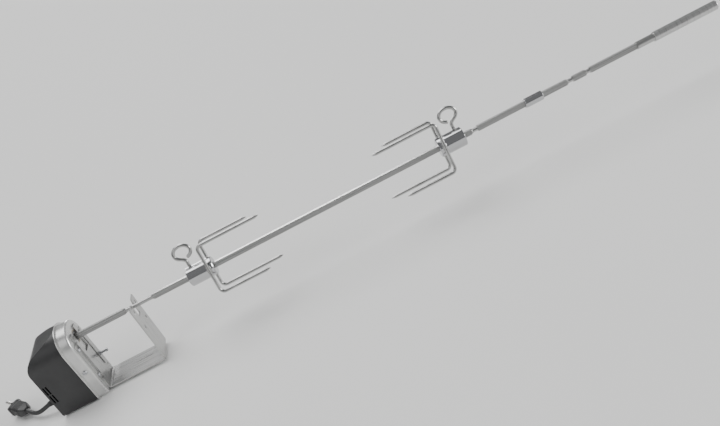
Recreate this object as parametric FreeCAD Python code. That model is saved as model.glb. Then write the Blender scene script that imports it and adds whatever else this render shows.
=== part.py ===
# Grill rotisserie spit kit: gear motor on a U bracket, square spit rod, two meat forks.
# Millimetres. Origin: centre of the four bolt holes, on the outer leg's outer face.
# +X runs along the spit from the motor to the handle, +Z is up, -Y is the near side.
import FreeCAD, Part
import math
import os

os.makedirs("parts", exist_ok=True)
V = FreeCAD.Vector

# ---------------------------------------------------------------- driving dimensions
SPIT_HEIGHT = 17.5        # spit axis above the bolt pattern's centre
SPIT_ROLL = -15.0         # rest angle of the spit about +X, degrees

STRAP_WIDTH = 48.0
STRAP_THICK = 2.0
BRACKET_LENGTH = 95.0
BASE_DROP = 91.0          # spit axis down to the underside of the bracket's base
OUTER_RISE = 7.7          # outer leg's top above the spit axis
INNER_RISE = 12.0         # inner leg's top above the spit axis
BEND_INSIDE = 2.5
NOTCH_WIDTH = 12.0
NOTCH_DEPTH = 16.0        # notch floor below the spit axis, outer leg
INNER_NOTCH_WIDTH = 17.0
INNER_NOTCH_DEPTH = 26.0
TONGUE_WIDTH = 36.0       # inner leg above its shoulders
SHOULDER_DROP = 70.0      # shoulders below the spit axis
BOLT_Y = 28.0
BOLT_Z = 30.0
BOLT_HOLE = 7.0

MOTOR_WIDTH = 70.0
MOTOR_TOP = 27.0          # motor's top above the spit axis
MOTOR_DROP = 93.0         # motor's underside below the spit axis
COVER_DEPTH = 17.7
HOUSING_DEPTH = 58.0
HOUSING_WALL = 2.2
COVER_WALL = 1.2
TOP_RADIUS = 32.0         # arch of the motor's top corners
TOP_FALL = 17.0           # how far the housing's top falls towards its rear
REAR_ROUND = 26.0         # rounding where the top meets the rear wall
FLANGE_PROUD = 1.5
BODY_GAP = 0.3            # clearance between pieces that slide past each other

BAR = 8.0                 # square spit bar, across flats
NECK = 6.0
ROD_END = 850.4           # where the handle starts
SOCKET_GRIP = 17.0        # length of bar inside the socket
SOCKET_OD = 2.25 * BAR
SOCKET_CLEAR = 0.5        # socket bore to bar flat
RUN_CLEAR = 0.05          # radial running clearance

HUB_OD = 29.0
HUB_LENGTH = 41.0
HUB_CLEAR = 0.3
PRONG = 4.8
PRONG_HALF = 38.5         # tine centre line above the spit axis
PRONG_SIDE = HUB_OD / 2 + PRONG / 2 - 0.5    # prong wire's centre line beside the spit axis
PRONG_LONG = 100.0
PRONG_SHORT = 79.0
PRONG_BEND = 7.0
FORK_1_X = 90.9
FORK_2_X = 539.8
EYE_WIRE = 5.2
EYE_FROM_END = 8.8
LEG_FROM_END = 33.5

RING_OD = 1.775 * BAR
RING_X = 639.5
RING_LENGTH = 29.0
FERRULE_X = 823.0
FERRULE_OD = 11.4
HANDLE_OD = 14.5
HANDLE_BORE = 11.5
HANDLE_LENGTH = 103.0

CORD = 6.8

# ---------------------------------------------------------------- places that follow
S = SPIT_HEIGHT
FLOOR = S - MOTOR_DROP
LEG_FACE = -BRACKET_LENGTH                 # inner leg's face on the motor's side
COVER_FRONT = LEG_FACE - BODY_GAP
RIM = COVER_FRONT - COVER_DEPTH
REAR = RIM - HOUSING_DEPTH
HALF = MOTOR_WIDTH / 2
ROD_START = COVER_FRONT - SOCKET_GRIP


# ---------------------------------------------------------------- helpers
def box(x0, x1, y0, y1, z0, z1):
    return Part.makeBox(x1 - x0, y1 - y0, z1 - z0, V(x0, y0, z0))


def along_x(x0, x1, y, z, radius):
    return Part.makeCylinder(radius, x1 - x0, V(x0, y, z), V(1, 0, 0))


def along_y(x, y0, y1, z, radius):
    return Part.makeCylinder(radius, y1 - y0, V(x, y0, z), V(0, 1, 0))


def rounded_edges(points, radii, closed):
    """Straight runs between the points, each corner rounded by a tangent arc."""
    count = len(points)
    entry, leave, arcs = [], [], []
    for i, point in enumerate(points):
        inside = closed or 0 < i < count - 1
        if not inside or radii[i] <= 0:
            entry.append(point)
            leave.append(point)
            arcs.append(None)
            continue
        back = (points[i - 1] - point).normalize()
        ahead = (points[(i + 1) % count] - point).normalize()
        half = back.getAngle(ahead) / 2
        middle = (back + ahead).normalize()
        reach = radii[i] / math.tan(half)
        centre = point + middle * (radii[i] / math.sin(half))
        entry.append(point + back * reach)
        leave.append(point + ahead * reach)
        arcs.append(centre - middle * radii[i])
    edges = []
    for i in range(count):
        if arcs[i] is not None:
            edges.append(Part.Arc(entry[i], arcs[i], leave[i]).toShape())
        if i + 1 < count or closed:
            start, end = leave[i], entry[(i + 1) % count]
            if (end - start).Length > 1e-6:
                edges.append(Part.LineSegment(start, end).toShape())
    return edges


def rounded_face(points, radii):
    return Part.Face(Part.Wire(rounded_edges(points, radii, True)))


def wire_sweep(points, radii, radius):
    """Round wire along straight runs and tangent arcs."""
    path = Part.Wire(rounded_edges(points, radii, False))
    start = (points[1] - points[0]).normalize()
    ring = Part.Wire(Part.Circle(points[0], start, radius).toShape())
    return path.makePipeShell([ring], True, False), path


def largest_radii(points, share):
    """Largest tangent arcs that the two runs beside each corner allow."""
    radii = [0.0] * len(points)
    for i in range(1, len(points) - 1):
        back = points[i] - points[i - 1]
        ahead = points[i + 1] - points[i]
        turn = back.getAngle(ahead)
        radii[i] = share * min(back.Length, ahead.Length) / math.tan(turn / 2)
    return radii


def on_spit(shape):
    """Turn a shape built about the X axis to the spit's rest angle and lift it there."""
    placed = shape.copy()
    placed.rotate(V(0, 0, 0), V(1, 0, 0), SPIT_ROLL)
    placed.translate(V(0, 0, S))
    return placed


def save(name, *solids):
    shape = solids[0] if len(solids) == 1 else Part.makeCompound(list(solids))
    if len(solids) == 1 and shape.ShapeType == "Compound" and len(shape.Solids) == 1:
        shape = shape.Solids[0]
    if not shape.isValid():
        print("not valid:", name)
    shape.exportStep("parts/" + name + ".step")
    print(name, len(shape.Solids), round(shape.Volume, 1))


# ---------------------------------------------------------------- bracket
def make_bracket():
    base = S - BASE_DROP
    length, thick = BRACKET_LENGTH, STRAP_THICK
    outer = BEND_INSIDE + thick
    outline = [V(0, 0, S + OUTER_RISE), V(0, 0, base), V(-length, 0, base),
               V(-length, 0, S + INNER_RISE), V(thick - length, 0, S + INNER_RISE),
               V(thick - length, 0, base + thick), V(-thick, 0, base + thick),
               V(-thick, 0, S + OUTER_RISE)]
    face = rounded_face(outline, [0, outer, outer, 0, 0, BEND_INSIDE, BEND_INSIDE, 0])
    face.translate(V(0, -STRAP_WIDTH / 2, 0))
    strap = face.extrude(V(0, STRAP_WIDTH, 0))
    high = S + INNER_RISE + 10
    half = NOTCH_WIDTH / 2
    strap = strap.cut(box(-5, 5, -half, half, S - NOTCH_DEPTH, high))
    inner_half = INNER_NOTCH_WIDTH / 2
    in_x0, in_x1 = -length - 5, -length + 5
    strap = strap.cut(box(in_x0, in_x1, -inner_half, inner_half, S - INNER_NOTCH_DEPTH, high))
    # flared mouth of the outer notch
    mouth = S + OUTER_RISE
    for side in (-1, 1):
        corner = V(-5, side * half, mouth - 4)
        flare = Part.Face(Part.makePolygon([corner, V(-5, side * half, mouth + 1),
                                            V(-5, side * (half + 3), mouth + 1), corner]))
        strap = strap.cut(flare.extrude(V(10, 0, 0)))
        # shoulders: the inner leg is narrower above them
        low, wide = TONGUE_WIDTH / 2, STRAP_WIDTH / 2 + 1
        y0, y1 = sorted((side * low, side * wide))
        strap = strap.cut(box(in_x0, in_x1, y0, y1, S - SHOULDER_DROP, high))
    for y in (-BOLT_Y / 2, BOLT_Y / 2):
        for z in (-BOLT_Z / 2, BOLT_Z / 2):
            strap = strap.cut(along_x(-5, 5, y, z, BOLT_HOLE / 2))
    strap = strap.cut(along_x(in_x0, in_x1, STRAP_WIDTH / 2 - 4.5, S - SHOULDER_DROP - 6, 1.5))
    return strap


save("bracket", make_bracket())


# ---------------------------------------------------------------- motor shells
def d_prism(x0, x1, inset, grow_top=0.0):
    """Prism along X with the motor's outline: rounded top, nearly square bottom."""
    half = HALF - inset
    top = S + MOTOR_TOP - inset + grow_top
    low = FLOOR + inset
    points = [V(x0, -half, low), V(x0, half, low), V(x0, half, top), V(x0, -half, top)]
    bottom = max(6.0 - inset, 1.0)
    crown = TOP_RADIUS - inset
    return rounded_face(points, [bottom, bottom, crown, crown]).extrude(V(x1 - x0, 0, 0))


def side_prism(inset):
    """Prism along Y with the housing's side view: the top falls to a rounded rear."""
    half = HALF + 5
    front = RIM + (5 if inset else 0)
    rear = REAR + inset
    low = FLOOR + inset - (5 if not inset else 0)
    top = S + MOTOR_TOP - inset
    points = [V(front, -half, low), V(rear, -half, low), V(rear + 2, -half, top - TOP_FALL),
              V(front, -half, top + 0.6)]
    return rounded_face(points, [0, 4 if inset else 6, REAR_ROUND - inset, 0]).extrude(V(0, 2 * half, 0))


CORD_Y = -6.0
EXIT_Z = FLOOR + 19.0     # height of the cord's hole in the rear wall
LUG_Z = S - 42.0          # side screws that hold the cover
LUG_X = RIM + COVER_DEPTH / 2

outer = d_prism(REAR - 5, RIM, 0).common(side_prism(0))
cavity = d_prism(REAR - 5, RIM + 1, HOUSING_WALL).common(side_prism(HOUSING_WALL))
housing = outer.cut(cavity)
lug_out = HALF - FLANGE_PROUD - COVER_WALL
for side in (-1, 1):
    y0, y1 = sorted((side * lug_out, side * (lug_out - 2.2)))
    tongue = box(RIM - 8, RIM + COVER_DEPTH - 6, y0, y1, LUG_Z - 8, LUG_Z + 8)
    web0, web1 = sorted((side * (lug_out - 2.2), side * (HALF - 1)))
    web = box(RIM - 8, RIM - 0.05, web0, web1, LUG_Z - 8, LUG_Z + 8)
    housing = housing.fuse(tongue).fuse(web)
    a, b = sorted((side * (lug_out - 5), side * (lug_out + 1)))
    housing = housing.cut(along_y(LUG_X, a, b, LUG_Z, 1.5))
housing = housing.cut(along_x(REAR - 5, REAR + 8, CORD_Y, EXIT_Z, 5.0))
# vent slots low in both side walls, close to the rear
VENT_LOW, VENT_HIGH = S - 64.0, S - 32.0
for x in (REAR + 3.6, REAR + 7.8):
    for z in (VENT_LOW, (VENT_LOW + VENT_HIGH) / 2 + 1):
        reach = (VENT_HIGH - VENT_LOW) / 2 - 1
        housing = housing.cut(box(x, x + 2.4, -HALF - 1, -HALF + 4, z, z + reach))
        housing = housing.cut(box(x, x + 2.4, HALF - 4, HALF + 1, z, z + reach))
housing = housing.removeSplitter()
save("motor_housing", housing)

COVER_IN = FLANGE_PROUD
shell = d_prism(RIM, COVER_FRONT, COVER_IN)
front_edges = [e for e in shell.Edges if all(abs(v.X - COVER_FRONT) < 1e-3 for v in e.Vertexes)]
shell = shell.makeFillet(3.0, front_edges)
hollow = d_prism(RIM - 1, COVER_FRONT - COVER_WALL, COVER_IN + COVER_WALL)
flange = d_prism(RIM, RIM + COVER_WALL, -FLANGE_PROUD).cut(d_prism(RIM - 1, RIM + 3, COVER_IN + COVER_WALL))
BUSH_OD = SOCKET_OD + 4.0
cover = shell.cut(hollow).fuse(flange)
cover = cover.cut(along_x(COVER_FRONT - 5, COVER_FRONT + 1, 0, S, BUSH_OD / 2))
for side in (-1, 1):
    a, b = sorted((side * (HALF - 5), side * (HALF + 2)))
    cover = cover.cut(along_y(LUG_X, a, b, LUG_Z, 2.1))
save("motor_cover", cover.removeSplitter())

# pan-head screws that hold the cover to the housing's two lugs
screws = []
for side in (-1, 1):
    face = HALF - COVER_IN
    shank = Part.makeCylinder(1.5, 7.0, V(LUG_X, side * face, LUG_Z), V(0, -side, 0))
    head = Part.makeCylinder(3.6, 2.2, V(LUG_X, side * face, LUG_Z), V(0, side, 0))
    rim_edges = [e for e in head.Edges if abs(e.CenterOfMass.y - side * (face + 2.2)) < 1e-3]
    head = head.makeFillet(1.4, rim_edges)
    slot = box(LUG_X - 5, LUG_X + 5, -0.5, 0.5, LUG_Z - 0.5, LUG_Z + 0.5)
    slot.translate(V(0, side * (face + 2.0), 0))
    screws.append(head.fuse(shank).cut(slot))
save("cover_screws", *screws)

# ---------------------------------------------------------------- guide rails and lock screw
RAIL_SHEET = 1.0
RAIL_LOW = S - SHOULDER_DROP + BODY_GAP
RAIL_HIGH = S - 1.0
tongue_edge = TONGUE_WIDTH / 2 + 0.4
lip_back = LEG_FACE + STRAP_THICK + BODY_GAP
rails, rail_screws = [], []
for side in (-1, 1):
    def strip(x0, x1, ya, yb):
        y0, y1 = sorted((side * ya, side * yb))
        return box(x0, x1, y0, y1, RAIL_LOW, RAIL_HIGH)
    foot = strip(COVER_FRONT, COVER_FRONT + RAIL_SHEET, tongue_edge, tongue_edge + 9.6)
    riser = strip(COVER_FRONT, lip_back + RAIL_SHEET, tongue_edge, tongue_edge + RAIL_SHEET)
    lip = strip(lip_back, lip_back + RAIL_SHEET, tongue_edge - 5.4, tongue_edge + RAIL_SHEET)
    rail = foot.fuse(riser).fuse(lip)
    for z in (RAIL_LOW + 9, RAIL_HIGH - 9):
        y = side * (tongue_edge + 5.6)
        rail = rail.cut(along_x(COVER_FRONT - 1, COVER_FRONT + 3, y, z, 1.6))
        head = along_x(COVER_FRONT + RAIL_SHEET, COVER_FRONT + RAIL_SHEET + 1.9, y, z, 3.0)
        tip_edge = [e for e in head.Edges if abs(e.CenterOfMass.x - COVER_FRONT - RAIL_SHEET - 1.9) < 1e-3]
        head = head.makeFillet(1.2, tip_edge)
        rail_screws.append(head.fuse(along_x(COVER_FRONT, COVER_FRONT + 1.5, y, z, 1.5)))
    rails.append(rail)
LOCK_Y, LOCK_Z = tongue_edge - 2.4, S - 52.0
LOCK_R = 1.9
far_rail = rails[1].cut(along_x(lip_back - 1, lip_back + 3, LOCK_Y, LOCK_Z, LOCK_R + RUN_CLEAR))
save("guide_rails", rails[0].removeSplitter(), far_rail.removeSplitter())
save("rail_screws", *rail_screws)
nut_face = lip_back + RAIL_SHEET
nut = along_x(nut_face, nut_face + 3.0, LOCK_Y, LOCK_Z, 3.4)
save("lock_nut", nut.cut(along_x(nut_face - 1, nut_face + 4, LOCK_Y, LOCK_Z, LOCK_R + RUN_CLEAR)))
lock = along_x(lip_back - 0.05, lip_back + 12.0, LOCK_Y, LOCK_Z, LOCK_R)
knob = along_x(lip_back + 12.0, lip_back + 15.0, LOCK_Y, LOCK_Z, 2.6)
driver_slot = box(lip_back + 14, lip_back + 16, LOCK_Y - 4, LOCK_Y + 4, LOCK_Z - 0.4, LOCK_Z + 0.4)
lock = lock.fuse(knob).cut(driver_slot)
save("lock_screw", lock.removeSplitter())

# ---------------------------------------------------------------- gear train
WHEEL_TEETH, PINION_TEETH = 56, 14
FINAL_MODULE, FAST_MODULE = 0.8, 0.6
PRESSURE = math.radians(20)
BACKLASH = 0.14
ADDENDUM, DEDENDUM = 0.8, 1.05


def gear(teeth, module, x0, x1, centre, phase, bore):
    """Spur gear along X: three-point arcs on involute flanks, straight root and tip."""
    pitch = teeth * module / 2
    base = pitch * math.cos(PRESSURE)
    tip, root = pitch + ADDENDUM * module, pitch - DEDENDUM * module
    half_pitch = (math.pi * module / 2 - BACKLASH) / (2 * pitch)
    at_pitch = math.tan(PRESSURE) - PRESSURE

    def half_width(radius):
        angle = math.acos(min(1.0, base / radius))
        return half_pitch + at_pitch - (math.tan(angle) - angle)

    def spot(radius, angle):
        return V(x0, centre[0] + radius * math.cos(angle), centre[1] + radius * math.sin(angle))

    start = max(base, root)
    middle = (start + tip) / 2
    edges = []
    for tooth in range(teeth):
        axis = phase + 2 * math.pi * tooth / teeth
        after = axis + 2 * math.pi / teeth
        foot, low, crown = half_width(start), half_width(middle), half_width(tip)
        if start > root + 1e-6:
            edges.append(Part.LineSegment(spot(root, axis - foot), spot(start, axis - foot)).toShape())
        flank = Part.Arc(spot(start, axis - foot), spot(middle, axis - low), spot(tip, axis - crown))
        edges.append(flank.toShape())
        edges.append(Part.LineSegment(spot(tip, axis - crown), spot(tip, axis + crown)).toShape())
        flank = Part.Arc(spot(tip, axis + crown), spot(middle, axis + low), spot(start, axis + foot))
        edges.append(flank.toShape())
        if start > root + 1e-6:
            edges.append(Part.LineSegment(spot(start, axis + foot), spot(root, axis + foot)).toShape())
        edges.append(Part.LineSegment(spot(root, axis + foot), spot(root, after - foot)).toShape())
    disc = Part.Face(Part.Wire(edges)).extrude(V(x1 - x0, 0, 0))
    if bore <= 0:
        return disc
    return disc.cut(along_x(x0 - 1, x1 + 1, centre[0], centre[1], bore))


def step(centre, distance, angle):
    return (centre[0] + distance * math.cos(angle), centre[1] + distance * math.sin(angle))


FINAL_APART = FINAL_MODULE * (WHEEL_TEETH + PINION_TEETH) / 2
FAST_APART = FAST_MODULE * (WHEEL_TEETH + PINION_TEETH) / 2
ANGLE_2, ANGLE_1, ANGLE_R = math.radians(-69.5), math.radians(-143), math.radians(-53)
OUT = (0.0, S)
SHAFT_2 = step(OUT, FINAL_APART, ANGLE_2)
SHAFT_1 = step(SHAFT_2, FAST_APART, ANGLE_1)
SHAFT_R = step(SHAFT_1, FAST_APART, ANGLE_R)
GAP_TURN = math.pi / PINION_TEETH
PIN_R = 1.5

LAYER_A = (COVER_FRONT - 16.0, COVER_FRONT - 10.0)
LAYER_B = (COVER_FRONT - 21.5, COVER_FRONT - 17.5)
LAYER_C = (COVER_FRONT - 26.0, COVER_FRONT - 23.0)
PLATE_X = COVER_FRONT - 29.5
PLATE = 1.5
FRONT_PLATE = COVER_FRONT - COVER_WALL

socket_end = COVER_FRONT - SOCKET_GRIP - 4.5
bore_half = BAR / 2 + SOCKET_CLEAR
socket = along_x(socket_end, COVER_FRONT - 0.2, 0, 0, SOCKET_OD / 2)
bore_x = COVER_FRONT - SOCKET_GRIP - 1.0
socket = socket.cut(box(bore_x, COVER_FRONT + 5, -bore_half, bore_half, -bore_half, bore_half))
socket = socket.fuse(along_x(PLATE_X - PLATE, socket_end, 0, 0, 3.0))
save("drive_socket", on_spit(socket).removeSplitter())
save("output_gear", gear(WHEEL_TEETH, FINAL_MODULE, *LAYER_A, OUT, ANGLE_2, SOCKET_OD / 2 + 0.02))
bush = along_x(COVER_FRONT - 8.0, COVER_FRONT, 0, S, BUSH_OD / 2)
save("output_bearing", bush.cut(along_x(COVER_FRONT - 9, COVER_FRONT + 1, 0, S, SOCKET_OD / 2 + RUN_CLEAR)))

pin_bore = PIN_R + RUN_CLEAR
pinion_2 = gear(PINION_TEETH, FINAL_MODULE, LAYER_A[0] - 0.5, LAYER_A[1] + 0.5, SHAFT_2,
                ANGLE_2 + math.pi + GAP_TURN, pin_bore)
wheel_2 = gear(WHEEL_TEETH, FAST_MODULE, LAYER_B[0], LAYER_B[1], SHAFT_2, ANGLE_1, pin_bore)
link_2 = along_x(LAYER_B[1] - 0.5, LAYER_A[0], SHAFT_2[0], SHAFT_2[1], 4.4)
link_2 = link_2.cut(along_x(LAYER_B[0], LAYER_A[1], SHAFT_2[0], SHAFT_2[1], pin_bore))
save("second_cluster_gear", pinion_2.fuse(wheel_2).fuse(link_2))
pinion_1 = gear(PINION_TEETH, FAST_MODULE, LAYER_B[0] - 0.5, LAYER_B[1] + 0.5, SHAFT_1,
                ANGLE_1 + math.pi + GAP_TURN, pin_bore)
wheel_1 = gear(WHEEL_TEETH, FAST_MODULE, LAYER_C[0], LAYER_C[1], SHAFT_1, ANGLE_R, pin_bore)
link_1 = along_x(LAYER_C[1] - 0.5, LAYER_B[0], SHAFT_1[0], SHAFT_1[1], 3.2)
link_1 = link_1.cut(along_x(LAYER_C[0], LAYER_B[1], SHAFT_1[0], SHAFT_1[1], pin_bore))
save("first_cluster_gear", pinion_1.fuse(wheel_1).fuse(link_1))

pins = [along_x(PLATE_X - PLATE, FRONT_PLATE - 0.3, y, z, PIN_R) for y, z in (SHAFT_2, SHAFT_1)]
save("gear_shafts", *pins)

# motor: can, coil and magnet rotor behind the rear gear plate
CAN_R, CAN_WALL, CAN_DEPTH = 26.0, 1.0, 25.5
ROTOR_R = 1.2
can_front = PLATE_X - PLATE
can_rear = can_front - CAN_DEPTH
pinion_r = gear(PINION_TEETH, FAST_MODULE, LAYER_C[0] - 0.5, LAYER_C[1] + 0.5, SHAFT_R,
                ANGLE_R + math.pi + GAP_TURN, 0)
magnet = along_x(can_rear + 4.0, can_front - 3.5, SHAFT_R[0], SHAFT_R[1], 10.0)
spindle = along_x(can_rear + 0.1, LAYER_C[0], SHAFT_R[0], SHAFT_R[1], ROTOR_R)
save("rotor", pinion_r.fuse(spindle).fuse(magnet))
can = along_x(can_rear, can_front, SHAFT_R[0], SHAFT_R[1], CAN_R)
can = can.cut(along_x(can_rear + CAN_WALL, can_front + 1, SHAFT_R[0], SHAFT_R[1], CAN_R - CAN_WALL))
can = can.cut(along_x(can_rear - 1, can_rear + 2, SHAFT_R[0], SHAFT_R[1], ROTOR_R + RUN_CLEAR))
save("motor_can", can)
coil = along_x(can_rear + CAN_WALL, can_front - 2.0, SHAFT_R[0], SHAFT_R[1], CAN_R - CAN_WALL)
save("motor_coil", coil.cut(along_x(can_rear - 1, can_front, SHAFT_R[0], SHAFT_R[1], 11.0)))

# two gear plates held apart by four spacers
POST_R = 3.0
posts = [(y, S + z) for y in (8.0 - HALF, HALF - 8.0) for z in (-12.0, 9.0 - MOTOR_DROP)]


def plate(x0, x1):
    half, high, low = HALF - 4.5, S + 16.0, FLOOR + 4.0
    outline = [V(x0, -half, low), V(x0, half, low), V(x0, half, high), V(x0, -half, high)]
    return rounded_face(outline, [4, 4, 18, 18]).extrude(V(x1 - x0, 0, 0))


rear_plate = plate(PLATE_X - PLATE, PLATE_X)
rear_plate = rear_plate.cut(along_x(PLATE_X - 5, PLATE_X + 5, 0, S, 3.0 + RUN_CLEAR))
rear_plate = rear_plate.cut(along_x(PLATE_X - 5, PLATE_X + 5, SHAFT_R[0], SHAFT_R[1], ROTOR_R + RUN_CLEAR))
front_plate = plate(FRONT_PLATE - PLATE, FRONT_PLATE)
front_plate = front_plate.cut(along_x(FRONT_PLATE - 5, FRONT_PLATE + 5, 0, S, BUSH_OD / 2))
for y, z in (SHAFT_2, SHAFT_1):
    rear_plate = rear_plate.cut(along_x(PLATE_X - 5, PLATE_X + 5, y, z, PIN_R))
    front_plate = front_plate.cut(along_x(FRONT_PLATE - 5, FRONT_PLATE + 5, y, z, PIN_R))
for y, z in posts:
    rear_plate = rear_plate.cut(along_x(PLATE_X - 5, PLATE_X + 5, y, z, 1.5))
save("rear_gear_plate", rear_plate)
save("front_gear_plate", front_plate)
spacers, post_screws = [], []
for y, z in posts:
    post = along_x(PLATE_X, FRONT_PLATE - PLATE, y, z, POST_R)
    spacers.append(post.cut(along_x(PLATE_X - 1, PLATE_X + 8, y, z, 1.5)))
    head = along_x(PLATE_X - PLATE - 1.8, PLATE_X - PLATE, y, z, 2.8)
    post_screws.append(head.fuse(along_x(PLATE_X - PLATE, PLATE_X + 7, y, z, 1.5)))
save("gear_spacers", *spacers)
save("plate_screws", *post_screws)

# ---------------------------------------------------------------- cord, strain relief, plug
EXIT_END = V(REAR - 20.0, CORD_Y, FLOOR + 15.0)
exit_start = V(REAR + 6.0, CORD_Y, EXIT_Z)
lean = EXIT_END - exit_start
sleeve = Part.makeCone(6.6, CORD / 2 + 0.6, 20.3, EXIT_END - lean * (20.3 / lean.Length), lean)
plug_in = along_x(REAR - 0.5, REAR + 5.0, CORD_Y, EXIT_Z, 4.9)
collar = along_x(REAR + HOUSING_WALL + 0.4, REAR + 5.0, CORD_Y, EXIT_Z, 6.6)
relief = sleeve.fuse(plug_in).fuse(collar).cut(housing)
relief = Part.makeCompound([max(relief.Solids, key=lambda solid: solid.Volume)])
save("strain_relief", relief)

BLOCK_X = can_rear - 9.0
LEAD_PLACES = [CORD_Y - 3.0, CORD_Y, CORD_Y + 3.0]
LEAD_R = 0.8
block = box(BLOCK_X, can_rear, CORD_Y - 11, CORD_Y + 11, EXIT_Z - 5, EXIT_Z + 7)
for y in LEAD_PLACES:
    block = block.cut(along_x(BLOCK_X - 1, BLOCK_X + 5, y, EXIT_Z, LEAD_R + 0.1))
save("terminal_block", block)
lead_start = REAR + 5.0
save("lead_wires", *[along_x(lead_start, BLOCK_X + 3, y, EXIT_Z, LEAD_R) for y in LEAD_PLACES])

# the cord's route, point by point, from the sleeve to the plug
PLUG_DIR = V(-1, 1, 0).normalize()
PLUG_Z = FLOOR + 11.0
CORD_POINTS = [EXIT_END,
               V(-203.4, -5.4, FLOOR + 11.2),
               V(-215.1, -1.5, FLOOR + 7.6),
               V(-225.5, 6.2, FLOOR + 7.4),
               V(-234.6, 14.8, PLUG_Z)]
cord_radii = largest_radii(CORD_POINTS, 0.45)
cord, cord_path = wire_sweep(CORD_POINTS, cord_radii, CORD / 2)
for i, point in enumerate(CORD_POINTS[:-1]):
    run = (CORD_POINTS[i + 1] - point).Length
    print("run", i, round(run, 1), "radius at its end", round(cord_radii[i + 1], 1))
section = math.pi * CORD * CORD / 4
print("cord length", round(cord_path.Length, 1), "volume ratio",
      round(cord.Volume / (section * cord_path.Length), 4))
save("power_cord", cord)

PLUG_BODY, PLUG_FLANGE = 36.0, 6.0
plug_start = CORD_POINTS[-1]


def plug_frame(shape):
    """Shapes are built along +X from the origin and turned to the plug's direction."""
    placed = shape.copy()
    placed.rotate(V(0, 0, 0), V(0, 0, 1), math.degrees(math.atan2(PLUG_DIR.y, PLUG_DIR.x)))
    placed.translate(plug_start)
    return placed


grip = box(9, PLUG_BODY, -10.5, 10.5, -8.8, 8.8)
grip = grip.makeFillet(5.0, [e for e in grip.Edges if abs(e.tangentAt(e.FirstParameter).x) > 0.99])
nose = box(PLUG_BODY - PLUG_FLANGE, PLUG_BODY, -13.5, 13.5, -10.9, 10.9)
nose = nose.makeFillet(6.0, [e for e in nose.Edges if abs(e.tangentAt(e.FirstParameter).x) > 0.99])
neck = Part.makeCone(CORD / 2 + 1.2, 8.5, 12.0, V(0, 0, 0), V(1, 0, 0))
plug = neck.fuse(grip).fuse(nose)
blades = []
for y in (-6.35, 6.35):
    blade = box(PLUG_BODY, PLUG_BODY + 17, y - 0.75, y + 0.75, -7.2, -0.9)
    blades.append(plug_frame(blade))
pin = along_x(PLUG_BODY, PLUG_BODY + 16.5, 0, 7.4, 2.4)
pin = pin.fuse(Part.makeSphere(2.4, V(PLUG_BODY + 16.5, 0, 7.4)))
save("plug_body", plug_frame(plug.removeSplitter()))
save("plug_blades", *blades)
save("plug_ground_pin", plug_frame(pin))

# ---------------------------------------------------------------- spit rod
BAR_R = 0.725 * BAR       # the turned outline leaves the bar square, corners just broken
neck_r = NECK / 2
SPIGOT_R = BAR / 2 - 0.05
SPIGOT_END = ROD_END + 28.0
turned = [(ROD_START, 0.54 * BAR), (ROD_START + 2, BAR_R), (-16.7, BAR_R), (-12.4, neck_r), (29.8, neck_r),
          (34.2, BAR_R), (551.0, BAR_R), (554.5, neck_r), (562.0, neck_r), (562.6, BAR_R),
          (707.0, BAR_R), (710.5, neck_r), (717.0, neck_r), (719.5, BAR_R), (738.0, BAR_R),
          (740.5, neck_r), (745.0, neck_r), (747.5, BAR_R), (FERRULE_X, BAR_R), (FERRULE_X, SPIGOT_R),
          (SPIGOT_END, SPIGOT_R)]
outline = [V(ROD_START, 0, 0)] + [V(x, 0, r) for x, r in turned] + [V(SPIGOT_END, 0, 0), V(ROD_START, 0, 0)]
turning = Part.Face(Part.makePolygon(outline)).revolve(V(0, 0, 0), V(1, 0, 0), 360)
bar = box(ROD_START, SPIGOT_END, -BAR / 2, BAR / 2, -BAR / 2, BAR / 2)
save("spit_rod", on_spit(bar.common(turning)))

ring = along_x(RING_X, RING_X + RING_LENGTH, 0, 0, RING_OD / 2)
ring_ends = [e for e in ring.Edges if len(e.Vertexes) == 1]
ring = ring.makeFillet(1.0, ring_ends)
ring_half = BAR / 2 + HUB_CLEAR
ring_bore = box(RING_X - 1, RING_X + RING_LENGTH + 1, -ring_half, ring_half, -ring_half, ring_half)
save("ring_bushing", on_spit(ring.cut(ring_bore)))

ferrule = along_x(FERRULE_X, ROD_END, 0, 0, FERRULE_OD / 2)
save("handle_ferrule", on_spit(ferrule.cut(along_x(FERRULE_X - 1, ROD_END + 1, 0, 0, SPIGOT_R))))
CAP = 3.0
handle_end = ROD_END + HANDLE_LENGTH
tube = along_x(ROD_END, handle_end - CAP, 0, 0, HANDLE_OD / 2)
front = [e for e in tube.Edges if len(e.Vertexes) == 1 and abs(e.CenterOfMass.x - ROD_END) < 1e-3]
tube = tube.makeFillet(1.0, front)
save("handle_tube", on_spit(tube.cut(along_x(ROD_END - 1, handle_end, 0, 0, HANDLE_BORE / 2))))
insert = along_x(ROD_END + 0.5, SPIGOT_END, 0, 0, HANDLE_BORE / 2)
save("handle_insert", on_spit(insert.cut(along_x(ROD_END, SPIGOT_END + 1, 0, 0, SPIGOT_R))))
cap = along_x(handle_end - CAP, handle_end, 0, 0, HANDLE_OD / 2)
cap_edge = [e for e in cap.Edges if len(e.Vertexes) == 1 and abs(e.CenterOfMass.x - handle_end) < 1e-3]
cap = cap.makeFillet(2.0, cap_edge)
stub = along_x(handle_end - CAP - 10, handle_end - CAP, 0, 0, HANDLE_BORE / 2)
save("handle_cap", on_spit(cap.fuse(stub)))


# ---------------------------------------------------------------- meat forks
EYE_CENTRE = HUB_OD / 2 + 23.6
EYE_A, EYE_B = 13.0, 10.0
TINE_TAPER = 9.0


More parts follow.
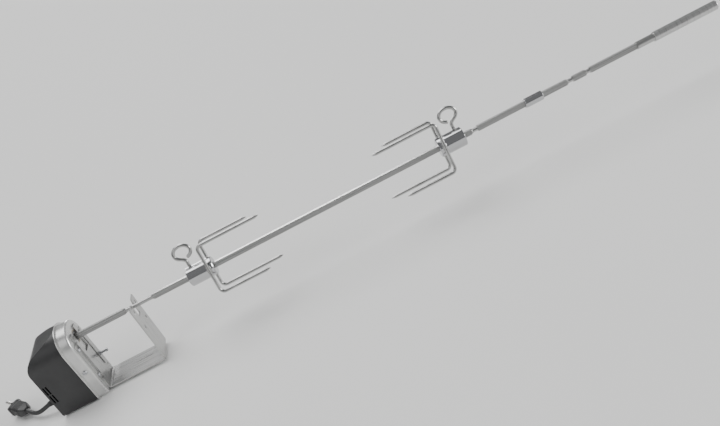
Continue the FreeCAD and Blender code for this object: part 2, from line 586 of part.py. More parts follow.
def make_fork(number, start, way):
    """start is the hub's end beside the eye screw; way is +1 or -1 along X."""
    def place(u, y, z):
        return V(start + way * u, y, z)

    hub = Part.makeCylinder(HUB_OD / 2, HUB_LENGTH, place(0, 0, 0), V(way, 0, 0))
    hub = hub.makeChamfer(0.9, [e for e in hub.Edges if len(e.Vertexes) == 1])
    hub_half = BAR / 2 + HUB_CLEAR
    x0, x1 = sorted((start - way, start + way * (HUB_LENGTH + 1)))
    hub = hub.cut(box(x0, x1, -hub_half, hub_half, -hub_half, hub_half))
    eye_x = start + way * EYE_FROM_END
    thread = Part.makeCylinder(EYE_WIRE / 2 + RUN_CLEAR, HUB_OD, V(eye_x, 0, 0), V(0, 0, 1))
    hub = hub.cut(thread)
    wires = ((-1, "near", PRONG_LONG, PRONG_SHORT), (1, "far", PRONG_SHORT, PRONG_LONG))
    for side, label, top, low in wires:
        y = side * PRONG_SIDE
        groove = Part.makeCylinder(PRONG / 2 + 0.02, HUB_OD * 2, place(LEG_FROM_END, y, -HUB_OD), V(0, 0, 1))
        hub = hub.cut(groove)
        leg = LEG_FROM_END
        points = [place(leg + top - TINE_TAPER, y, PRONG_HALF), place(leg, y, PRONG_HALF),
                  place(leg, y, -PRONG_HALF), place(leg + low - TINE_TAPER, y, -PRONG_HALF)]
        wire, _ = wire_sweep(points, [0, PRONG_BEND, PRONG_BEND, 0], PRONG / 2)
        for end in (points[0], points[3]):
            wire = wire.fuse(Part.makeCone(PRONG / 2, 0.4, TINE_TAPER, end, V(way, 0, 0)))
        save("fork_%d_%s_prongs" % (number, label), on_spit(wire))
    save("fork_%d_hub" % number, on_spit(hub))
    # eye screw: straight shank, then an open oval loop round to just beside the shank
    turns = [38, 80, 122, 164, 206, 248, 290, 330, 352]
    spread = 1 / math.cos(math.radians(21))
    loop = [V(eye_x - way * spread * EYE_A * math.sin(math.radians(t)), 0,
              EYE_CENTRE - spread * EYE_B * math.cos(math.radians(t))) for t in turns]
    loop[-1] = V(eye_x + way * 3.2, 0, EYE_CENTRE - EYE_B + 0.6)
    points = [V(eye_x, 0, BAR / 2 + 0.3), V(eye_x, 0, 23.0)] + loop
    eye, _ = wire_sweep(points, [min(r, 30.0) for r in largest_radii(points, 0.48)], EYE_WIRE / 2)
    save("fork_%d_eye_screw" % number, on_spit(eye))


make_fork(1, FORK_1_X, 1)
make_fork(2, FORK_2_X, -1)
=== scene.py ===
import math
import bpy
import numpy as np
from mathutils import Matrix, Vector


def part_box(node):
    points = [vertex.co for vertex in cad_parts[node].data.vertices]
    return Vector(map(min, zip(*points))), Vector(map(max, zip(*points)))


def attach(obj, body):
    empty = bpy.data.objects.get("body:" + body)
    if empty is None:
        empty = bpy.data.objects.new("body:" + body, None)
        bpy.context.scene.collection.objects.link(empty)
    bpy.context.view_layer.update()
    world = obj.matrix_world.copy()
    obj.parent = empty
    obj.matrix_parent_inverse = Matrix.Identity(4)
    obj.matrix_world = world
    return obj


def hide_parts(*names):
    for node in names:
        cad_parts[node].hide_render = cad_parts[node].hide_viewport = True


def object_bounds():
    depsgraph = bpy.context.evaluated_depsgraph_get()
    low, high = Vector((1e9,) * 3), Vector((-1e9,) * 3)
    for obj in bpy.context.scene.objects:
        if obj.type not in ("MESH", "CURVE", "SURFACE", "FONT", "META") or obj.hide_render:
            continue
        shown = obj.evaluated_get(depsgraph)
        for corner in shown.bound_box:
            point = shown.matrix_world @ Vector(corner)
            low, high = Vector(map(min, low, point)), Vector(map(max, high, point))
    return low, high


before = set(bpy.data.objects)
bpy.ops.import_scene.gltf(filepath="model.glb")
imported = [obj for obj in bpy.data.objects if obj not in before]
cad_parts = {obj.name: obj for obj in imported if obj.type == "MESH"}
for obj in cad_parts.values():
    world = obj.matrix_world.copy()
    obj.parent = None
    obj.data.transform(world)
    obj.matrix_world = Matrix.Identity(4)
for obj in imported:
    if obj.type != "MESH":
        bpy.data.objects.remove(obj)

cad_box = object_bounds()

# The lens looks level across the spit and 29 degrees down, from a little over a metre away, and
# is rolled so that the spit climbs to the right.
FOCAL_LENGTH = 37.5
PITCH, ROLL = math.radians(29.0), math.radians(27.4)
AXIS_Z = 0.0175
AIM_X, AIM_BELOW, CAMERA_AWAY = 0.3543, 0.03085, 1.091
across = Vector((1, 0, 0))
upward = Vector((0, math.sin(PITCH), math.cos(PITCH)))
into = Vector((0, math.cos(PITCH), -math.sin(PITCH)))
aim = Vector((AIM_X, 0, AXIS_Z)) - upward * AIM_BELOW
right = across * math.cos(ROLL) - upward * math.sin(ROLL)
above = across * math.sin(ROLL) + upward * math.cos(ROLL)
facing = Matrix((right, above, -into)).transposed().to_4x4()
lens = bpy.data.cameras.new("camera")
lens.lens = FOCAL_LENGTH
lens.clip_end = 50
camera = bpy.data.objects.new("camera", lens)
camera.matrix_world = Matrix.Translation(aim - into * CAMERA_AWAY) @ facing
bpy.context.collection.objects.link(camera)
bpy.context.scene.camera = camera


def finish_of(name, colour, metallic, roughness):
    """A material with its own shader; what is the same all over is set on the shader itself."""
    material = bpy.data.materials.new(name)
    material.use_nodes = True
    shader = material.node_tree.nodes["Principled BSDF"]
    shader.inputs["Base Color"].default_value = (*colour, 1)
    shader.inputs["Metallic"].default_value = metallic
    shader.inputs["Roughness"].default_value = roughness
    return material, shader


FLOOR_Z = min(cad_box[0][2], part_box("motor_cover")[0][2])
FLOOR_GAP, FLOOR_REACH = 0.0004, 60.0
corners = [(x * FLOOR_REACH, y * FLOOR_REACH, FLOOR_Z - FLOOR_GAP)
           for x, y in ((-1, -1), (1, -1), (1, 1), (-1, 1))]
floor_mesh = bpy.data.meshes.new("floor")
floor_mesh.from_pydata(corners, [], [(0, 1, 2, 3)])
floor = bpy.data.objects.new("floor", floor_mesh)
bpy.context.collection.objects.link(floor)
paper, _ = finish_of("paper_floor", (0.88, 0.88, 0.87), 0.0, 0.9)
floor_mesh.materials.append(paper)

LAMP_AWAY = 3.0


def soft_light(name, azimuth, elevation, spread, strength):
    """Even light from one side of the studio. Its direction is the unit vector at that azimuth
    and elevation, in degrees, and spread is the angle that its panel fills."""
    data = bpy.data.lights.new(name, "SUN")
    data.angle = math.radians(spread)
    data.energy = strength
    lamp = bpy.data.objects.new(name, data)
    bearing, lift = math.radians(azimuth), math.radians(elevation)
    away = Vector((math.cos(lift) * math.cos(bearing), math.cos(lift) * math.sin(bearing), math.sin(lift)))
    lamp.rotation_euler = away.to_track_quat("Z", "Y").to_euler()
    lamp.location = away * LAMP_AWAY
    bpy.context.collection.objects.link(lamp)


soft_light("light_over", 115, 64, 48, 2.0)
soft_light("light_behind", 95, 8, 22, 1.1)
soft_light("light_right", -12, 11, 30, 3.0)
soft_light("light_left", -140, 38, 40, 0.5)
world = bpy.data.worlds.new("studio")
world.use_nodes = True
world.node_tree.nodes["Background"].inputs["Color"].default_value = (0.78, 0.79, 0.8, 1)
world.node_tree.nodes["Background"].inputs["Strength"].default_value = 0.34
bpy.context.scene.world = world


# ---- power cord
# A very short round lead, 6.8 mm over its vinyl jacket, from the sleeve in the motor's rear
# to a moulded plug. The jacket is extruded, with a faint satin drag along it.
def grain(material, scale, detail=3.0, stretch=(1, 1, 1)):
    """Noise on the piece's own coordinates, stretched along some axes; returns its value socket."""
    nodes, links = material.node_tree.nodes, material.node_tree.links
    place = nodes.new("ShaderNodeTexCoord")
    mapping = nodes.new("ShaderNodeMapping")
    mapping.inputs["Scale"].default_value = stretch
    noise = nodes.new("ShaderNodeTexNoise")
    noise.inputs["Scale"].default_value = scale
    noise.inputs["Detail"].default_value = detail
    links.new(place.outputs["Object"], mapping.inputs["Vector"])
    links.new(mapping.outputs["Vector"], noise.inputs["Vector"])
    return noise.outputs["Fac"]


def ramp_to(material, value, socket, low, high, start=0.3, end=0.7):
    """Feeds a socket with low where the value is at start, high where it is at end, and a
    straight line between."""
    nodes, links = material.node_tree.nodes, material.node_tree.links
    step = nodes.new("ShaderNodeMapRange")
    step.inputs["From Min"].default_value = start
    step.inputs["From Max"].default_value = end
    step.inputs["To Min"].default_value = low
    step.inputs["To Max"].default_value = high
    links.new(value, step.inputs["Value"])
    links.new(step.outputs["Result"], socket)


def tint(material, value, shader, dark, light):
    """Colour that drifts from a dark tone to a light one as the value grows."""
    nodes, links = material.node_tree.nodes, material.node_tree.links
    ramp = nodes.new("ShaderNodeValToRGB")
    ramp.color_ramp.elements[0].position = 0.3
    ramp.color_ramp.elements[1].position = 0.7
    ramp.color_ramp.elements[0].color = (*dark, 1)
    ramp.color_ramp.elements[1].color = (*light, 1)
    links.new(value, ramp.inputs["Fac"])
    links.new(ramp.outputs["Color"], shader.inputs["Base Color"])


def raise_by(material, shader, value, distance, strength=1.0):
    """Bump from a height value; a second one is laid on top of the first."""
    nodes, links = material.node_tree.nodes, material.node_tree.links
    bump = nodes.new("ShaderNodeBump")
    bump.inputs["Distance"].default_value = distance
    bump.inputs["Strength"].default_value = strength
    before = shader.inputs["Normal"]
    if before.is_linked:
        links.new(before.links[0].from_socket, bump.inputs["Normal"])
    links.new(value, bump.inputs["Height"])
    links.new(bump.outputs["Normal"], shader.inputs["Normal"])


CORD = 0.0068
MOTOR_DROP = 0.093
BASE_Z = AXIS_Z - MOTOR_DROP
CORD_ROUTE = [(-0.191, -0.006, BASE_Z + 0.015), (-0.2034, -0.0054, BASE_Z + 0.0112),
              (-0.2151, -0.0015, BASE_Z + 0.0076), (-0.2255, 0.0062, BASE_Z + 0.0074),
              (-0.2346, 0.0148, BASE_Z + 0.011)]
vinyl, vinyl_shader = finish_of("black_vinyl", (0.03, 0.03, 0.031), 0.0, 0.45)
drift = grain(vinyl, 60, 4)
tint(vinyl, drift, vinyl_shader, (0.022, 0.022, 0.023), (0.045, 0.045, 0.046))
ramp_to(vinyl, drift, vinyl_shader.inputs["Roughness"], 0.38, 0.55)
raise_by(vinyl, vinyl_shader, grain(vinyl, 1800, 2), 0.00006, 0.6)
cord_line = bpy.data.curves.new("power_cord_line", "CURVE")
cord_line.dimensions = "3D"
cord_line.bevel_depth = CORD / 2
cord_line.bevel_resolution = 8
cord_line.resolution_u = 16
cord_line.use_fill_caps = True
strand = cord_line.splines.new("NURBS")
strand.points.add(len(CORD_ROUTE) - 1)
for knot, spot in zip(strand.points, CORD_ROUTE):
    knot.co = (*spot, 1)
strand.order_u = 3
strand.use_endpoint_u = True
cord_line.materials.append(vinyl)
cord = bpy.data.objects.new("power_cord_jacket", cord_line)
bpy.context.collection.objects.link(cord)
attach(cord, "motor")
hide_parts("power_cord")


# ---- mains plug
# A moulded grounded plug: ribbed finger grip, flared front flange, two flat nickel blades
# and a round pin. Body and cord jacket are one moulding in black vinyl.
def skin(name, grid, material, body):
    """A closed mesh over a grid of points. Each row is a ring round the piece and the rows follow
    its length; a face joins neighbours in two rows, and each end ring is fanned to its mean."""
    rows, sides = grid.shape[:2]
    column = np.arange(sides)
    after = (column + 1) % sides
    row = np.arange(rows - 1)[:, None] * sides
    walls = np.stack([row + column, row + after, row + sides + after, row + sides + column], axis=-1)
    first_middle, last_middle = rows * sides, rows * sides + 1
    last_ring = (rows - 1) * sides
    first_fan = np.stack([np.full(sides, first_middle), after, column], axis=-1)
    last_fan = np.stack([np.full(sides, last_middle), last_ring + column, last_ring + after], axis=-1)
    points = np.concatenate([grid.reshape(-1, 3), [grid[0].mean(axis=0), grid[-1].mean(axis=0)]])
    faces = walls.reshape(-1, 4).tolist() + first_fan.tolist() + last_fan.tolist()
    mesh = bpy.data.meshes.new(name)
    mesh.from_pydata(points.tolist(), [], faces)
    mesh.polygons.foreach_set("use_smooth", np.ones(len(mesh.polygons), bool))
    mesh.materials.append(material)
    mesh.update()
    piece = bpy.data.objects.new(name, mesh)
    bpy.context.collection.objects.link(piece)
    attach(piece, body)
    return piece


PLUG_LENGTH = 0.036
PLUG_NECK = 0.0046
GRIP_HALF_WIDE, GRIP_HALF_TALL = 0.0100, 0.0080
FLANGE_HALF_WIDE, FLANGE_HALF_TALL = 0.0116, 0.0092
RIB_PROUD, RIB_COUNT = 0.00035, 13
FRONT_DRAWN_IN = 0.12
SQUARENESS = 0.4
plug_forward = np.array((-math.sqrt(0.5), math.sqrt(0.5), 0.0))
plug_sideways = np.array((math.sqrt(0.5), math.sqrt(0.5), 0.0))
plug_upward = np.array((0.0, 0.0, 1.0))
share = np.linspace(0, 1, 220)
swell = np.clip((share - 0.02) / 0.3, 0, 1) ** 0.8
flare = 1 / (1 + np.exp(-(share - 0.84) * 90))
ribs = RIB_PROUD * (np.sin(share * 2 * np.pi * RIB_COUNT) > 0) * (share > 0.3) * (share < 0.76)
front_round = np.sqrt(np.clip(1 - np.clip((share - 0.955) / 0.047, 0, 1) ** 2, 0.02, 1))


def plug_half(grip, flange):
    """Half size along the plug: the neck swells to the grip as a power of the distance, ribs stand
    on it, a steep S-curve leads out to the flange, and a quarter ellipse draws in the front edge."""
    moulding = (PLUG_NECK + (grip - PLUG_NECK) * swell + ribs) * (1 - flare) + flange * flare
    return moulding * (1 - FRONT_DRAWN_IN + FRONT_DRAWN_IN * front_round)


def squared(wave):
    """A sine or cosine drawn out towards a square outline: its size to a power, its sign kept."""
    return np.sign(wave) * np.abs(wave) ** SQUARENESS


angle = np.linspace(0, 2 * np.pi, 96, endpoint=False)
half_wide = plug_half(GRIP_HALF_WIDE, FLANGE_HALF_WIDE)
half_tall = plug_half(GRIP_HALF_TALL, FLANGE_HALF_TALL)
plug_grid = (np.array(CORD_ROUTE[-1]) + (share * PLUG_LENGTH)[:, None, None] * plug_forward
             + (half_wide[:, None] * squared(np.cos(angle)))[..., None] * plug_sideways
             + (half_tall[:, None] * squared(np.sin(angle)))[..., None] * plug_upward)
plug = skin("plug_moulding", plug_grid[:, ::-1], vinyl, "motor")
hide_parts("plug_body")

nickel, nickel_shader = finish_of("bright_nickel", (0.72, 0.71, 0.68), 1.0, 0.22)
ramp_to(nickel, grain(nickel, 900, 3), nickel_shader.inputs["Roughness"], 0.16, 0.34)
raise_by(nickel, nickel_shader, grain(nickel, 2500, 2), 0.00001, 0.5)


def dress(material, *names):
    """Gives a finish to pieces whose shape comes from the frame."""
    for name in names:
        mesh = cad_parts[name].data
        mesh.materials.clear()
        mesh.materials.append(material)


dress(nickel, "plug_blades", "plug_ground_pin")


# ---- strain relief
# A moulded vinyl sleeve in the hole of the motor's rear wall: a round collar inside and
# outside the wall, then a taper cut by grooves so that it bends with the lead.
def lathe(name, origin, direction, along, radius, material, body, sides=64):
    """A turned form: each point is the origin, plus a distance along the axis, plus the radius
    there times a unit circle round the axis."""
    direction = np.asarray(direction, float) / np.linalg.norm(direction)
    side = np.cross(direction, (0, 0, 1))
    side /= np.linalg.norm(side)
    third = np.cross(direction, side)
    angle = np.linspace(0, 2 * np.pi, sides, endpoint=False)
    ring = np.cos(angle)[:, None] * side + np.sin(angle)[:, None] * third
    grid = origin + along[:, None, None] * direction + radius[:, None, None] * ring
    return skin(name, grid, material, body)


RELIEF_INSIDE, RELIEF_RISE = 0.006, 0.019
INNER_COLLAR, THROAT_R, WALL_OUTSIDE = 0.0025, 0.0048, 0.0062
COLLAR_R, COLLAR_LENGTH = 0.0064, 0.0022
TAPER_ROOT_R, TAPER_TIP_R, TAPER_END = 0.0060, 0.0041, 0.0205
GROOVE_DEPTH, GROOVE_PITCH, GROOVES_START, GROOVES_END = 0.0007, 0.0028, 0.0035, 0.0175
relief_tip = np.array(CORD_ROUTE[0])
rear_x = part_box("motor_housing")[0][0]
relief_root = np.array((rear_x + RELIEF_INSIDE, CORD_ROUTE[0][1], BASE_Z + RELIEF_RISE))
relief_way = relief_tip - relief_root
relief_along = np.linspace(0, float(np.linalg.norm(relief_way)), 260)
past_wall = relief_along - WALL_OUTSIDE
taper = np.interp(past_wall, [0.0, COLLAR_LENGTH, COLLAR_LENGTH + 0.0002, TAPER_END],
                  [COLLAR_R, COLLAR_R, TAPER_ROOT_R, TAPER_TIP_R])
grooved = (past_wall > GROOVES_START) & (past_wall < GROOVES_END)
groove = GROOVE_DEPTH * (np.sin(past_wall / GROOVE_PITCH * 2 * np.pi) > 0.25) * grooved
relief_radius = np.where(past_wall < 0, THROAT_R, taper - groove)
relief_radius = np.where(relief_along < INNER_COLLAR, COLLAR_R, relief_radius)
relief = lathe("strain_relief_sleeve", relief_root, relief_way, relief_along, relief_radius, vinyl, "motor")
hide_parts("strain_relief")

# ---- motor housing
# A moulded shell in black plastic with a spark-eroded texture, open towards the cover.
# Handling leaves it a little shinier in patches.
moulded, moulded_shader = finish_of("black_moulding", (0.022, 0.022, 0.023), 0.0, 0.42)
patches = grain(moulded, 26, 5)
tint(moulded, patches, moulded_shader, (0.016, 0.016, 0.017), (0.032, 0.032, 0.033))
ramp_to(moulded, patches, moulded_shader.inputs["Roughness"], 0.33, 0.5)
raise_by(moulded, moulded_shader, grain(moulded, 1500, 2), 0.00009, 0.55)
dress(moulded, "motor_housing")

# ---- motor cover
# A deep-drawn steel front with a narrow flange round its rim, sprayed satin silver. Two screws
# through its sides hold it to lugs in the housing.
satin, satin_shader = finish_of("satin_silver", (0.58, 0.58, 0.575), 0.75, 0.32)
spray = grain(satin, 35, 4)
tint(satin, spray, satin_shader, (0.52, 0.52, 0.515), (0.64, 0.64, 0.63))
ramp_to(satin, spray, satin_shader.inputs["Roughness"], 0.26, 0.38)
raise_by(satin, satin_shader, grain(satin, 1300, 3), 0.00004, 0.5)
raise_by(satin, satin_shader, grain(satin, 22, 2), 0.0003, 0.2)
dress(satin, "motor_cover")

# ---- bracket and guide rails
# Stainless strap 48 mm wide and 2 mm thick, brushed along its length and pressed into a U.
# The inner bend is crinkled where the press gathered it. The rails are folded sheet of that steel.
strap, strap_shader = finish_of("brushed_strap", (0.44, 0.44, 0.435), 0.85, 0.3)
brush = grain(strap, 1.0, 4, (16, 1500, 16))
tint(strap, brush, strap_shader, (0.37, 0.37, 0.365), (0.52, 0.52, 0.515))
ramp_to(strap, brush, strap_shader.inputs["Roughness"], 0.24, 0.38)
raise_by(strap, strap_shader, brush, 0.00003, 0.5)
BEND_INSET = 0.003
CRINKLE_REACH, CRINKLE_FULL, CRINKLE_HEIGHT = 0.012, 0.004, 0.0016
bend_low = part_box("bracket")[0]
bend_line = (bend_low[0] + BEND_INSET, 0.0, bend_low[2] + BEND_INSET)
strap_nodes, strap_links = strap.node_tree.nodes, strap.node_tree.links
strap_place = strap_nodes.new("ShaderNodeTexCoord")
flatten = strap_nodes.new("ShaderNodeVectorMath")
flatten.operation = "MULTIPLY"
flatten.inputs[1].default_value = (1, 0, 1)
from_bend = strap_nodes.new("ShaderNodeVectorMath")
from_bend.operation = "DISTANCE"
from_bend.inputs[1].default_value = bend_line
near_bend = strap_nodes.new("ShaderNodeMapRange")
near_bend.inputs["From Min"].default_value = CRINKLE_REACH
near_bend.inputs["From Max"].default_value = CRINKLE_FULL
crinkle = strap_nodes.new("ShaderNodeMath")
crinkle.operation = "MULTIPLY"
strap_links.new(strap_place.outputs["Object"], flatten.inputs[0])
strap_links.new(flatten.outputs["Vector"], from_bend.inputs[0])
strap_links.new(from_bend.outputs["Value"], near_bend.inputs["Value"])
strap_links.new(near_bend.outputs["Result"], crinkle.inputs[0])
strap_links.new(grain(strap, 230, 3), crinkle.inputs[1])
raise_by(strap, strap_shader, crinkle.outputs["Value"], CRINKLE_HEIGHT, 0.9)
dress(strap, "bracket", "guide_rails")

# ---- screws, plates, shafts and motor can
# Zinc-plated steel: pan-head screws, the lock screw and its nut, and inside the motor the gear
# plates with their spacers, the fixed shafts and the drawn can.
zinc, zinc_shader = finish_of("zinc_plate", (0.5, 0.51, 0.53), 1.0, 0.34)
zinc_place = zinc.node_tree.nodes.new("ShaderNodeTexCoord")
spangle = zinc.node_tree.nodes.new("ShaderNodeTexVoronoi")
spangle.inputs["Scale"].default_value = 260
zinc.node_tree.links.new(zinc_place.outputs["Object"], spangle.inputs["Vector"])
ramp_to(zinc, spangle.outputs["Distance"], zinc_shader.inputs["Roughness"], 0.26, 0.44, 0.0, 1.0)
tint(zinc, grain(zinc, 120, 4), zinc_shader, (0.42, 0.43, 0.45), (0.58, 0.59, 0.6))
raise_by(zinc, zinc_shader, grain(zinc, 1600, 2), 0.00002, 0.5)
dress(zinc, "cover_screws", "rail_screws", "lock_nut", "lock_screw", "gear_shafts", "motor_can",
      "rear_gear_plate", "front_gear_plate", "gear_spacers", "plate_screws", "handle_insert")

# ---- drive socket and its bearing
# A sintered steel socket, square inside and dark with oil, turns in a plain bronze bush that is
# pressed into the cover.
sinter, sinter_shader = finish_of("oiled_sinter", (0.2, 0.2, 0.2), 1.0, 0.45)
pores = grain(sinter, 1400, 4)
tint(sinter, pores, sinter_shader, (0.1, 0.1, 0.1), (0.26, 0.26, 0.26))
ramp_to(sinter, pores, sinter_shader.inputs["Roughness"], 0.35, 0.6)
raise_by(sinter, sinter_shader, pores, 0.00005, 0.7)
dress(sinter, "drive_socket")
bronze, bronze_shader = finish_of("bush_bronze", (0.42, 0.37, 0.3), 1.0, 0.35)
tint(bronze, grain(bronze, 300, 4), bronze_shader, (0.34, 0.29, 0.23), (0.5, 0.45, 0.38))
raise_by(bronze, bronze_shader, grain(bronze, 1500, 3), 0.00003, 0.6)
dress(bronze, "output_bearing")

# ---- gears, rotor, coil and terminals
# Moulded acetal gears run on fixed shafts, and the terminal block is acetal too. The rotor is a
# ferrite magnet on a steel spindle, and the coil is wound in enamelled copper wire.
acetal, acetal_shader = finish_of("acetal", (0.82, 0.81, 0.76), 0.0, 0.4)
flow = grain(acetal, 90, 4)
tint(acetal, flow, acetal_shader, (0.76, 0.75, 0.7), (0.86, 0.85, 0.81))
ramp_to(acetal, flow, acetal_shader.inputs["Roughness"], 0.32, 0.48)
raise_by(acetal, acetal_shader, grain(acetal, 1200, 2), 0.00003, 0.5)
dress(acetal, "output_gear", "second_cluster_gear", "first_cluster_gear", "terminal_block")
ferrite, ferrite_shader = finish_of("ferrite", (0.07, 0.07, 0.075), 0.3, 0.5)
tint(ferrite, grain(ferrite, 700, 4), ferrite_shader, (0.05, 0.05, 0.055), (0.1, 0.1, 0.105))
raise_by(ferrite, ferrite_shader, grain(ferrite, 900, 3), 0.00005, 0.6)
dress(ferrite, "rotor")
copper, copper_shader = finish_of("enamelled_copper", (0.62, 0.27, 0.12), 1.0, 0.3)
windings = grain(copper, 1.0, 2, (1800, 40, 40))
tint(copper, windings, copper_shader, (0.45, 0.17, 0.07), (0.72, 0.34, 0.16))
raise_by(copper, copper_shader, windings, 0.00012, 0.8)
dress(copper, "motor_coil", "lead_wires")

# ---- spit rod and ferrule
# Square 8 mm steel bar, drawn along its length and nickel plated, with necks turned in it. The
# ferrule is a plain turned collar on the rod's round end, just before the handle.
drawn, drawn_shader = finish_of("drawn_bar", (0.44, 0.44, 0.435), 1.0, 0.28)
draw_lines = grain(drawn, 1.0, 4, (9, 1700, 1700))
tint(drawn, draw_lines, drawn_shader, (0.36, 0.36, 0.355), (0.52, 0.52, 0.515))
ramp_to(drawn, draw_lines, drawn_shader.inputs["Roughness"], 0.22, 0.4)
raise_by(drawn, drawn_shader, draw_lines, 0.00003, 0.5)
raise_by(drawn, drawn_shader, grain(drawn, 60, 3), 0.0002, 0.15)
dress(drawn, "spit_rod", "handle_ferrule")

# ---- handle
# A satin steel tube that fits over an insert on the rod's round end, with a pressed-in end cap.
# It is polished round its girth, which leaves fine rings.
tube_steel, tube_shader = finish_of("satin_tube", (0.54, 0.54, 0.535), 1.0, 0.32)
polish = grain(tube_steel, 1.0, 3, (2400, 30, 30))
tint(tube_steel, polish, tube_shader, (0.46, 0.46, 0.455), (0.6, 0.6, 0.595))
ramp_to(tube_steel, polish, tube_shader.inputs["Roughness"], 0.26, 0.38)
raise_by(tube_steel, tube_shader, polish, 0.00002, 0.5)
dress(tube_steel, "handle_tube", "handle_cap")

# ---- fork hubs and bearing ring
# Turned steel with a square bore that slides along the bar, polished and chromed. Fine marks
# dull the shine in places.
chrome, chrome_shader = finish_of("polished_chrome", (0.5, 0.5, 0.51), 1.0, 0.08)
marks = grain(chrome, 1.0, 5, (900, 120, 120))
ramp_to(chrome, marks, chrome_shader.inputs["Roughness"], 0.05, 0.16)
raise_by(chrome, chrome_shader, grain(chrome, 60, 2), 0.0001, 0.12)
dress(chrome, "fork_1_hub", "fork_2_hub", "ring_bushing")

# ---- fork prongs
# Two wires a fork, 4.8 mm thick, bent to a U with one long and one short tine, ground to points
# and nickel plated. Each lies in a groove in the side of its hub.
plated, plated_shader = finish_of("plated_wire", (0.42, 0.42, 0.42), 1.0, 0.2)
wire_lines = grain(plated, 1.0, 4, (40, 700, 700))
ramp_to(plated, wire_lines, plated_shader.inputs["Roughness"], 0.14, 0.3)
tint(plated, grain(plated, 45, 4), plated_shader, (0.36, 0.36, 0.355), (0.48, 0.48, 0.475))
raise_by(plated, plated_shader, wire_lines, 0.00002, 0.5)
SPIT_ROLL = math.radians(-15)


def on_spit(points):
    """Turns points built about the X axis to the spit's rest angle and lifts them to its axis."""
    turned = points.copy()
    turned[..., 1] = points[..., 1] * math.cos(SPIT_ROLL) - points[..., 2] * math.sin(SPIT_ROLL)
    turned[..., 2] = points[..., 1] * math.sin(SPIT_ROLL) + points[..., 2] * math.cos(SPIT_ROLL) + AXIS_Z
    return turned


def flat_tube(name, x, z, y, radius, body, sides=40, thread=None):
    """A round wire along a line in the plane of one y. Each ring is the point of the line, plus
    the radius there times a unit circle made of the line's normal and the Y axis. thread is
    (start, end, pitch, depth): a triangular ridge that moves one pitch along for each turn."""
    path = np.stack([x, z], axis=1)
    tangent = np.gradient(path, axis=0)
    tangent /= np.linalg.norm(tangent, axis=1)[:, None]
    angle = np.linspace(0, 2 * np.pi, sides, endpoint=False)
    ring_radius = np.repeat(radius[:, None], sides, axis=1)
    if thread:
        start, end, pitch, depth = thread
        run = np.concatenate([[0], np.cumsum(np.linalg.norm(np.diff(path, axis=0), axis=1))])
        phase = run[:, None] / pitch + angle / (2 * np.pi)
        ridge = np.abs((phase % 1) * 2 - 1)
        ring_radius -= depth * ridge * ((run > start) & (run < end))[:, None]
    out_x = -tangent[:, 1][:, None] * np.cos(angle)
    out_z = tangent[:, 0][:, None] * np.cos(angle)
    grid = np.stack([x[:, None] + ring_radius * out_x, y + ring_radius * np.sin(angle),
                     z[:, None] + ring_radius * out_z], axis=-1)
    return skin(name, on_spit(grid[:, ::-1]), plated, body)


WIRE_R, TIP_R, TIP_LENGTH = 0.0024, 0.0004, 0.0066
PRONG_HALF, PRONG_SIDE, PRONG_BEND = 0.0385, 0.0164, 0.007
PRONG_LONG, PRONG_SHORT = 0.100, 0.079
HUB_ENDS = {1: (0.0909, 1), 2: (0.5398, -1)}
LEG_FROM_END = 0.0335
PRONGS = ((-1, "near", PRONG_LONG, PRONG_SHORT), (1, "far", PRONG_SHORT, PRONG_LONG))


def prong_line(leg, way, top, low):
    """Tip, tine, quarter-circle bend, leg, bend, tine, tip. The radius grows from the tip as a
    power of the distance to it, and is the wire's own from the end of the ground point on."""
    bend = np.linspace(0, np.pi / 2, 22)[1:]
    taper = TIP_LENGTH * np.linspace(0, 1, 12) ** 0.8
    straight = PRONG_HALF - PRONG_BEND
    x_top = np.concatenate([top - taper[:-1], np.linspace(top - TIP_LENGTH, PRONG_BEND, 40)])
    z_leg = np.linspace(straight, -straight, 60)[1:]
    x_low = np.concatenate([np.linspace(PRONG_BEND, low - TIP_LENGTH, 40)[1:],
                            low - TIP_LENGTH + taper[1:]])
    x = np.concatenate([x_top, PRONG_BEND * (1 - np.sin(bend)), np.zeros(len(z_leg)),
                        PRONG_BEND * (1 - np.cos(bend)), x_low])
    z = np.concatenate([np.full(len(x_top), PRONG_HALF), PRONG_HALF - PRONG_BEND * (1 - np.cos(bend)),
                        z_leg, -straight - PRONG_BEND * np.sin(bend), np.full(len(x_low), -PRONG_HALF)])
    to_tip = np.where(z > 0, np.abs(x - top), np.abs(x - low))
    radius = TIP_R + (WIRE_R - TIP_R) * np.clip(to_tip / TIP_LENGTH, 0, 1) ** 0.85
    return leg + way * x, z, radius


for number, (start, way) in HUB_ENDS.items():
    leg = start + way * LEG_FROM_END
    for side, label, top, low in PRONGS:
        x, z, radius = prong_line(leg, way, top, low)
        wire = flat_tube("fork_%d_%s_wire" % (number, label), x, z, side * PRONG_SIDE, radius,
                         "fork_%d" % number)
        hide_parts("fork_%d_%s_prongs" % (number, label))

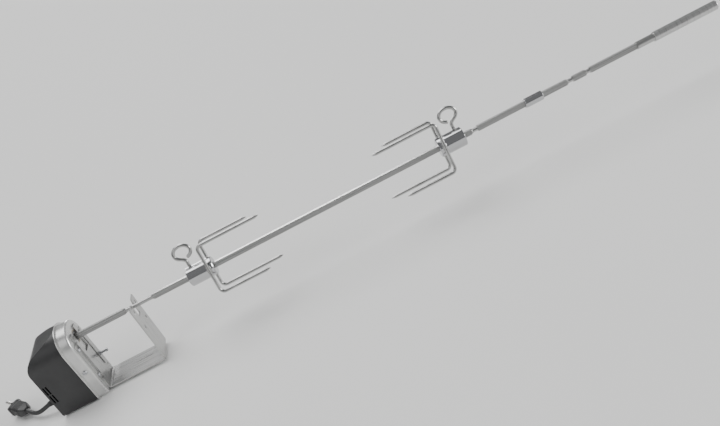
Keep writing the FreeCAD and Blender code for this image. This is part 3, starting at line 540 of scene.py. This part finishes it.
# ---- welds on the forks
# Short resistance-weld beads on both edges of each wire, where it lies in its groove on the hub.
# Each is a low, slightly lumpy half ellipse, and is plated over with the fork.
WELD_POINTS, WELD_REACH, WELD_HALF = 40, 0.0062, 0.0063
WELD_SIDE, WELD_FROM_LEG = 0.0147, 0.0023
WELD_END_R, WELD_SWELL = 0.0002, 0.0012
LUMP_SIZE, LUMP_EVERY, LUMP_SCATTER = 0.12, 0.0013, 0.05
rng = np.random.default_rng(7)
weld_z = np.linspace(-WELD_REACH, WELD_REACH, WELD_POINTS)
weld_swell = np.sqrt(np.clip(1 - (weld_z / WELD_HALF) ** 2, 0, 1))
for number, (start, way) in HUB_ENDS.items():
    for side, label in ((-1, "near"), (1, "far")):
        for edge, letter in ((-1, "a"), (1, "b")):
            scatter = LUMP_SCATTER * rng.standard_normal(WELD_POINTS)
            lumps = 1 + LUMP_SIZE * np.sin(weld_z / LUMP_EVERY) + scatter
            weld_x = np.full(WELD_POINTS, start + way * LEG_FROM_END + edge * WELD_FROM_LEG)
            bead = flat_tube("fork_%d_%s_weld_%s" % (number, label, letter), weld_x, weld_z,
                             side * WELD_SIDE, WELD_END_R + WELD_SWELL * weld_swell * lumps,
                             "fork_%d" % number, sides=16)


# ---- eye screws
# 5.2 mm wire with a rolled thread on its shank, the rest bent round to an open oval eye. Each
# screws into the side of a hub and clamps the fork on the bar.
def bezier(share, start, leaving, arriving, end):
    """Cubic curve: the four points weighed by the powers of what is left and of what is done,
    in the proportions 1, 3, 3 and 1."""
    done = share[:, None]
    left = 1 - done
    return (left ** 3 * start + 3 * left ** 2 * done * leaving
            + 3 * left * done ** 2 * arriving + done ** 3 * end)


EYE_R, EYE_TIP_R, EYE_FROM_END = 0.0026, 0.0018, 0.0088
SHANK_LOW, SHANK_TOP = 0.0043, 0.0225
EYE_CENTRE, EYE_HALF_WIDE, EYE_HALF_TALL = 0.0381, 0.0130, 0.0100
LEAVING, ARRIVING = 0.0032, 0.0036
THREAD = (0.001, 0.0150, 0.0009, 0.00038)
shank_z = np.linspace(SHANK_LOW, SHANK_TOP, 150)
loop_angle = np.radians(np.linspace(36, 346, 220))
loop = np.stack([-EYE_HALF_WIDE * np.sin(loop_angle),
                 EYE_CENTRE - EYE_HALF_TALL * np.cos(loop_angle)], axis=1)
loop_way = (loop[1] - loop[0]) / np.linalg.norm(loop[1] - loop[0])
shank_top = np.array((0.0, SHANK_TOP))
joint = bezier(np.linspace(0, 1, 30)[1:-1], shank_top, shank_top + np.array((0, LEAVING)),
               loop[0] - loop_way * ARRIVING, loop[0])
eye_line_x = np.concatenate([np.zeros(len(shank_z)), joint[:, 0], loop[:, 0]])
eye_line_z = np.concatenate([shank_z, joint[:, 1], loop[:, 1]])
eye_radius = np.full(len(eye_line_x), EYE_R)
eye_radius[:8] = np.linspace(EYE_TIP_R, EYE_R, 8)
eye_radius[-8:] = EYE_R * np.sqrt(1 - 0.75 * np.linspace(0, 1, 8) ** 2)
for number, (start, way) in HUB_ENDS.items():
    eye_x = start + way * (EYE_FROM_END + eye_line_x)
    eye = flat_tube("fork_%d_eye" % number, eye_x, eye_line_z, 0.0, eye_radius, "eye_%d" % number, sides=36,
                    thread=THREAD)
    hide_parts("fork_%d_eye_screw" % number)
